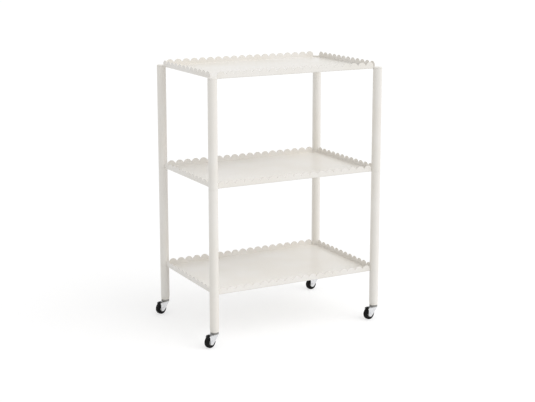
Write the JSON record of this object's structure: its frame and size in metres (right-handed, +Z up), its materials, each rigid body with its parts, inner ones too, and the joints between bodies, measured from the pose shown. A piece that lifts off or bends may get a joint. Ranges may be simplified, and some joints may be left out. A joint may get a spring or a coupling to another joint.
{
  "type": "serving cart",
  "caption": "Serving cart with stacked shallow steel trays that have scalloped rims, round tube legs at the corners and swivel casters for rolling it about.",
  "frame": {"origin": "on the floor, midway between the four leg axes", "axes": "+X along the long side towards the right, +Y towards the back, +Z up"},
  "size_m": [0.657, 0.428, 0.8785],
  "materials": {
    "powder_coat": "satin powder coat, warm off-white",
    "off_white_nylon": "moulded, matte",
    "light_grey_nylon": "moulded, matte, light grey",
    "black_rubber": "smooth black tread",
    "zinc_plated_steel": "bright zinc plate",
    "dull_zinc_steel": "dull grey zinc plate",
    "plain_steel": "plain turned steel"
  },
  "bodies": {
    "frame": {"tray_lower": "powder_coat", "tray_middle": "powder_coat", "tray_top": "powder_coat", "leg_lower_front_left": "powder_coat", "leg_lower_front_right": "powder_coat", "leg_lower_back_left": "powder_coat", "leg_lower_back_right": "powder_coat", "leg_middle_front_left": "powder_coat", "leg_middle_front_right": "powder_coat", "leg_middle_back_left": "powder_coat", "leg_middle_back_right": "powder_coat", "leg_upper_front_left": "powder_coat", "leg_upper_front_right": "powder_coat", "leg_upper_back_left": "powder_coat", "leg_upper_back_right": "powder_coat", "leg_plugs_lower": "plain_steel", "leg_studs_lower": "zinc_plated_steel", "leg_plugs_middle": "plain_steel", "leg_studs_middle": "zinc_plated_steel", "leg_plugs_top": "plain_steel", "leg_caps": "powder_coat", "foot_insert_front_left": "off_white_nylon", "caster_stem_front_left": "zinc_plated_steel", "caster_cup_front_left": "dull_zinc_steel", "caster_balls_front_left": "plain_steel", "foot_insert_front_right": "off_white_nylon", "caster_stem_front_right": "zinc_plated_steel", "caster_cup_front_right": "dull_zinc_steel", "caster_balls_front_right": "plain_steel", "foot_insert_back_left": "off_white_nylon", "caster_stem_back_left": "zinc_plated_steel", "caster_cup_back_left": "dull_zinc_steel", "caster_balls_back_left": "plain_steel", "foot_insert_back_right": "off_white_nylon", "caster_stem_back_right": "zinc_plated_steel", "caster_cup_back_right": "dull_zinc_steel", "caster_balls_back_right": "plain_steel"},
    "swivel_front_left": {"caster_fork_front_left": "zinc_plated_steel", "caster_axle_front_left": "zinc_plated_steel", "caster_sleeve_front_left": "plain_steel"},
    "wheel_front_left": {"caster_hub_front_left": "light_grey_nylon", "caster_tyre_front_left": "black_rubber"},
    "swivel_front_right": {"caster_fork_front_right": "zinc_plated_steel", "caster_axle_front_right": "zinc_plated_steel", "caster_sleeve_front_right": "plain_steel"},
    "wheel_front_right": {"caster_hub_front_right": "light_grey_nylon", "caster_tyre_front_right": "black_rubber"},
    "swivel_back_left": {"caster_fork_back_left": "zinc_plated_steel", "caster_axle_back_left": "zinc_plated_steel", "caster_sleeve_back_left": "plain_steel"},
    "wheel_back_left": {"caster_hub_back_left": "light_grey_nylon", "caster_tyre_back_left": "black_rubber"},
    "swivel_back_right": {"caster_fork_back_right": "zinc_plated_steel", "caster_axle_back_right": "zinc_plated_steel", "caster_sleeve_back_right": "plain_steel"},
    "wheel_back_right": {"caster_hub_back_right": "light_grey_nylon", "caster_tyre_back_right": "black_rubber"}
  },
  "joints": [
    {"name": "swivel_front_left", "type": "hinge", "parent": "frame", "child": "swivel_front_left", "pos_m": [-0.301, -0.196, 0.045], "axis": [0, 0, 1], "continuous": true},
    {"name": "roll_front_left", "type": "hinge", "parent": "swivel_front_left", "child": "wheel_front_left", "pos_m": [-0.32067, -0.20335, 0.02], "axis": [0.3502, -0.9367, 0], "continuous": true},
    {"name": "swivel_front_right", "type": "hinge", "parent": "frame", "child": "swivel_front_right", "pos_m": [0.301, -0.196, 0.045], "axis": [0, 0, 1], "continuous": true},
    {"name": "roll_front_right", "type": "hinge", "parent": "swivel_front_right", "child": "wheel_front_right", "pos_m": [0.28035, -0.19983, 0.02], "axis": [0.1822, -0.9833, 0], "continuous": true},
    {"name": "swivel_back_left", "type": "hinge", "parent": "frame", "child": "swivel_back_left", "pos_m": [-0.301, 0.196, 0.045], "axis": [0, 0, 1], "continuous": true},
    {"name": "roll_back_left", "type": "hinge", "parent": "swivel_back_left", "child": "wheel_back_left", "pos_m": [-0.32067, 0.18865, 0.02], "axis": [0.3502, -0.9367, 0], "continuous": true},
    {"name": "swivel_back_right", "type": "hinge", "parent": "frame", "child": "swivel_back_right", "pos_m": [0.301, 0.196, 0.045], "axis": [0, 0, 1], "continuous": true},
    {"name": "roll_back_right", "type": "hinge", "parent": "swivel_back_right", "child": "wheel_back_right", "pos_m": [0.28035, 0.19217, 0.02], "axis": [0.1822, -0.9833, 0], "continuous": true}
  ]
}
